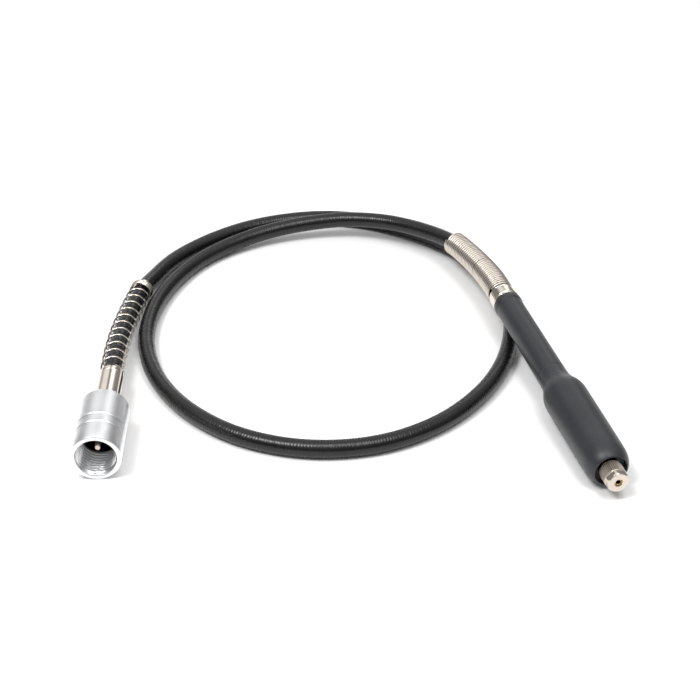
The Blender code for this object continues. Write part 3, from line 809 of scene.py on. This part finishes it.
fit(coil("close_wound_spring_wire", FINE["close_spring"], close_arc, close_radius,
         wire=0.52, wide=0.80, turns=CLOSE_TURNS, per_turn=56, sides=16, phase=1.0),
    "handpiece", "handpiece_spring")

REAR_FERRULE = [
    (6.75, -5.2), (7.0, -5.0), (7.0, -4.35), (6.8, -4.2), (6.8, -3.95), (7.25, -3.75),
    (7.25, 2.1), (7.0, 2.35), (7.0, 3.1), (5.3, 3.1), (5.3, 14.0),
    (3.5, 14.0), (3.5, 3.2), (4.85, 3.2), (4.85, -5.2),
]
fit(turned("rear_ferrule_ring", fillet(REAR_FERRULE, 0.16), FINE["nickel"], HAND_AXES, 128),
    "handpiece", "rear_ferrule")

# rubber sleeve, from the rear lip to the nose and back along the inside
GRIP = (
    # rear lip
    smooth_profile([(7.0, 3.6), (7.36, 3.8), (7.47, 4.4), (7.47, 6.2), (7.42, 7.1),
                    (7.22, 7.8), (7.13, 8.6)], step=0.15)
    # slim neck
    + smooth_profile([(7.11, 9.2), (7.12, 22.0), (7.18, 42.0), (7.26, 60.0),
                      (7.29, 69.0)], step=1.2)
    # fine line round the neck
    + [(7.30, 69.9), (7.21, 70.1), (7.21, 70.25), (7.32, 70.45)]
    # flare
    + smooth_profile([(7.33, 71.0), (7.40, 74.0), (7.56, 76.8), (7.84, 78.4)], step=0.3)
    # crease
    + [(7.95, 78.8), (7.90, 79.0), (8.02, 79.25)]
    # shoulder
    + smooth_profile([(8.10, 79.4), (8.45, 80.6), (8.95, 82.1), (9.70, 84.1),
                      (10.28, 86.0), (10.66, 88.2), (10.78, 91.0)], step=0.3)
    # thick body
    + smooth_profile([(10.77, 94.0), (10.74, 105.0), (10.66, 120.0), (10.59, 132.0),
                      (10.54, 136.2)], step=1.5)
    # rounded nose
    + smooth_profile([(10.52, 137.2), (10.45, 138.7), (10.22, 140.4), (9.86, 142.0),
                      (9.38, 143.35), (8.84, 144.4), (8.34, 145.1), (7.98, 145.45),
                      (7.74, 145.52), (7.60, 145.3), (7.56, 144.7)], step=0.12)
    # inside
    + [(7.6, 142.4), (8.6, 142.4), (9.7, 140.6), (9.7, 88.4), (6.6, 82.9), (6.6, 3.6)])


def moulded(angle, r, z):
    """Faint lengthwise unevenness of a soft moulding."""
    soft = 0.012 * np.sin(3 * angle + z * 0.05) + 0.010 * np.sin(5 * angle - z * 0.11 + 1.3)
    return np.where(r > 7.0, r + soft * np.clip((r - 7.0) / 0.1, 0, 1), r)


fit(turned("rubber_sleeve", GRIP, FINE["rubber"], HAND_AXES, 128, shape=moulded, sharp=50.0),
    "handpiece", "grip_sleeve")

NOSE_RING = [
    (7.5, 137.0), (7.5, 142.6), (6.4, 142.6), (6.1, 142.2),
    (4.9, 142.2), (4.5, 141.8), (4.5, 137.0),
]
fit(turned("nose_ring_black", fillet(NOSE_RING, 0.15), FINE["black"], HAND_AXES, 96),
    "handpiece", "nose_ring")

# collet nut: knurled rear running into a hexagonal front with a small chamfer
KNURL_RADIUS, KNURL_DEPTH, KNURL_TEETH = 5.46, 0.50, 38
HEX_HALF_FLATS, HEX_CORNER = 4.92, 5.40
COLLET_NUT_FRONT = 154.3
COLLET_NUT_OUTLINE = (
    [(5.05, 144.4), (5.35, 144.6)]
    + [(KNURL_RADIUS, z) for z in np.linspace(144.8, 150.7, 17)]
    + [(KNURL_RADIUS, z) for z in np.linspace(150.8, 151.5, 7)]
    + [(KNURL_RADIUS, z) for z in np.linspace(151.7, 154.29, 17)]
    + [(4.45, COLLET_NUT_FRONT), (2.05, COLLET_NUT_FRONT), (1.86, 154.12), (1.86, 152.5),
       (4.4, 152.0), (4.4, 144.4)])


def collet_nut_shape(angle, r, z):
    sixth = np.pi / 3
    from_flat = (angle - math.radians(15.0) + sixth / 2) % sixth - sixth / 2
    hexagon = np.minimum(HEX_HALF_FLATS / np.cos(from_flat), HEX_CORNER)
    front = np.minimum(hexagon, 4.72 + (COLLET_NUT_FRONT - z) * 0.85)
    tooth = np.abs(((angle * KNURL_TEETH / TURN) % 1.0) * 2 - 1)
    ends = np.clip((z - 144.6) / 0.3, 0, 1) * np.clip((150.9 - z) / 0.4, 0, 1)
    knurl = KNURL_RADIUS - KNURL_DEPTH * tooth * ends
    blend = np.clip((z - 150.8) / 0.6, 0, 1)
    blend = blend * blend * (3 - 2 * blend)
    return np.where(r > 4.9, np.minimum(r, knurl * (1 - blend) + front * blend), r)


fit(turned("collet_nut_hex", COLLET_NUT_OUTLINE, FINE["collet_nut"], HAND_AXES, 240,
           shape=collet_nut_shape, sharp=24.0),
    "collet_nut", "collet_nut")

COLLET = [
    (1.95, 124.0), (1.95, 148.2), (2.7, 150.8), (2.7, 151.4), (1.74, 152.2),
    (1.74, 153.5), (1.28, 153.6), (1.2, 153.4), (1.2, 124.0),
]


def saw_blade(name, turn_degrees):
    """A thin box through the handpiece axis."""
    half_width, half_thickness, rear, front = 4.0, 0.14, 138.0, 156.0
    verts = [(i * half_width * MM, j * half_thickness * MM, z * MM)
             for z in (rear, front) for j in (-1, 1) for i in (-1, 1)]
    faces = [(0, 2, 3, 1), (4, 5, 7, 6), (0, 1, 5, 4), (2, 6, 7, 3), (0, 4, 6, 2), (1, 3, 7, 5)]
    mesh = bpy.data.meshes.new(name)
    mesh.from_pydata(verts, [], faces)
    mesh.attributes.new("local", 'FLOAT_VECTOR', 'POINT')
    blade = bpy.data.objects.new(name, mesh)
    scene.collection.objects.link(blade)
    blade.matrix_world = HAND_AXES @ Matrix.Rotation(math.radians(turn_degrees), 4, 'Z')
    return blade


def split_collet():
    """A collet whose front is sawn into four by two crossed cuts."""
    collet = turned("split_collet", fillet(COLLET, 0.08), FINE["brass"], HAND_AXES, 64)
    blades = []
    for i in range(2):
        blade = saw_blade("collet_saw_%d" % i, 20 + 90 * i)
        blades.append(blade)
        cut = collet.modifiers.new("saw_%d" % i, 'BOOLEAN')
        cut.operation = 'DIFFERENCE'
        cut.solver = 'EXACT'
        cut.object = blade
    bpy.context.view_layer.update()
    depsgraph = bpy.context.evaluated_depsgraph_get()
    sawn = bpy.data.meshes.new_from_object(collet.evaluated_get(depsgraph))
    collet.modifiers.clear()
    collet.data = sawn
    sawn.set_sharp_from_angle(angle=math.radians(35))
    for blade in blades:
        bpy.data.objects.remove(blade, do_unlink=True)
    return collet


fit(split_collet(), "collet", "collet")


# ------------------------------------------------------------------- stage
def white_floor():
    z = -0.0002                         # just under the object
    mesh = bpy.data.meshes.new("floor")
    mesh.from_pydata([(-4, -3, z), (4, -3, z), (4, 5, z), (-4, 5, z)], [], [(0, 1, 2, 3)])
    floor = bpy.data.objects.new("floor", mesh)
    scene.collection.objects.link(floor)
    n = Shader("floor_white", stored=False)
    n.set("Base Color", n.mix(n.noise(scale=3.0, detail=2.0),
                              (0.90, 0.90, 0.90), (0.91, 0.91, 0.91)))
    n.set("Roughness", 0.6)
    n.set("Specular IOR Level", 0.2)
    mesh.materials.append(n.material)


def softbox(name, location, size, energy, target=(0, 0, 0), colour=(1, 1, 1)):
    light = bpy.data.lights.new(name, 'AREA')
    light.shape = 'RECTANGLE'
    light.size, light.size_y = size
    light.energy = energy
    light.color = colour
    ob = bpy.data.objects.new(name, light)
    ob.location = location
    aim = Vector(target) - Vector(location)
    ob.rotation_euler = aim.to_track_quat('-Z', 'Y').to_euler()
    scene.collection.objects.link(ob)


white_floor()
softbox("key_left", location=(-0.58, -0.50, 1.28), size=(0.50, 0.45), energy=12.5)
softbox("key_right", location=(0.22, -0.35, 1.42), size=(0.46, 0.46), energy=4.4)
softbox("front_key", location=(0.48, -0.68, 1.23), size=(0.40, 0.30), energy=3.0,
        target=(0.05, -0.1, 0), colour=(1.0, 0.985, 0.965))


def studio_world():
    """A pale studio all round, with upright screens behind the object (+Y) and a
    dimmer side behind the camera (-Y)."""
    world = bpy.data.worlds.new("studio")
    scene.world = world
    world.use_nodes = True
    nodes, link = world.node_tree.nodes, world.node_tree.links.new
    background = nodes["Background"]
    coordinates = nodes.new("ShaderNodeTexCoord")
    direction = nodes.new("ShaderNodeSeparateXYZ")
    link(coordinates.outputs["Generated"], direction.inputs["Vector"])

    def ramp(name, axis, low, stops):
        """Grey levels by one direction axis, from low to 1: (place, level)."""
        span = nodes.new("ShaderNodeMapRange")
        span.inputs["From Min"].default_value = low
        span.inputs["From Max"].default_value = 1.0
        link(direction.outputs[axis], span.inputs["Value"])
        node = nodes.new("ShaderNodeValToRGB")
        node.name = name
        elements = node.color_ramp.elements
        while len(elements) < len(stops):
            elements.new(0.5)
        for element, (place, level) in zip(elements, stops):
            element.position = (place - low) / (1.0 - low)
            element.color = (level, level, level, 1.0)
        link(span.outputs["Result"], node.inputs["Fac"])
        return node.outputs["Color"]

    def mix(a, b, factor=None):
        """Blends two colours by a factor, or multiplies them if there is none."""
        node = nodes.new("ShaderNodeMix")
        node.data_type = 'RGBA'
        if factor is None:
            node.blend_type = 'MULTIPLY'
            node.inputs[0].default_value = 1.0
        else:
            link(factor, node.inputs[0])
        link(a, node.inputs[6])
        link(b, node.inputs[7])
        return node.outputs[2]

    screens = ramp("screens", "X", -1.0, [
        (-0.95, 0.15), (-0.62, 0.10), (-0.50, 0.22), (-0.42, 0.50), (-0.16, 0.52),
        (-0.09, 0.14), (0.00, 0.12), (0.06, 0.80), (0.24, 0.85), (0.32, 0.16),
        (0.50, 0.10), (0.90, 0.12)])
    height = ramp("height", "Z", 0.0, [(0.0, 0.15), (0.35, 0.24), (0.62, 0.44), (1.0, 0.54)])
    depth = ramp("depth", "Y", -1.0, [(-0.9, 0.0), (-0.45, 0.1), (-0.15, 0.8), (0.3, 1.0)])
    upper = ramp("upper", "Z", 0.0, [(0.50, 1.0), (0.72, 0.0)])
    behind = mix(height, screens, factor=mix(upper, depth))
    front = ramp("front", "Y", -1.0, [(-0.85, 0.45), (-0.45, 0.60), (-0.05, 1.0)])
    link(mix(behind, front), background.inputs["Color"])
    background.inputs["Strength"].default_value = 2.0


def add_camera():
    """Looks along +Y and 32 degrees down."""
    data = bpy.data.cameras.new("camera")
    camera = bpy.data.objects.new("camera", data)
    data.sensor_width = 36.0
    data.lens = 77.7085714
    data.clip_start = 0.01
    data.shift_y = 0.000428571
    camera.location = (SHIFT[0] * MM, (-662.5 + SHIFT[1]) * MM, 0.414)
    camera.rotation_euler = (math.radians(90.0 - 32.0), 0.0, 0.0)
    scene.collection.objects.link(camera)
    scene.camera = camera


studio_world()
add_camera()
scene.view_settings.view_transform = 'Standard'

bpy.context.view_layer.update()
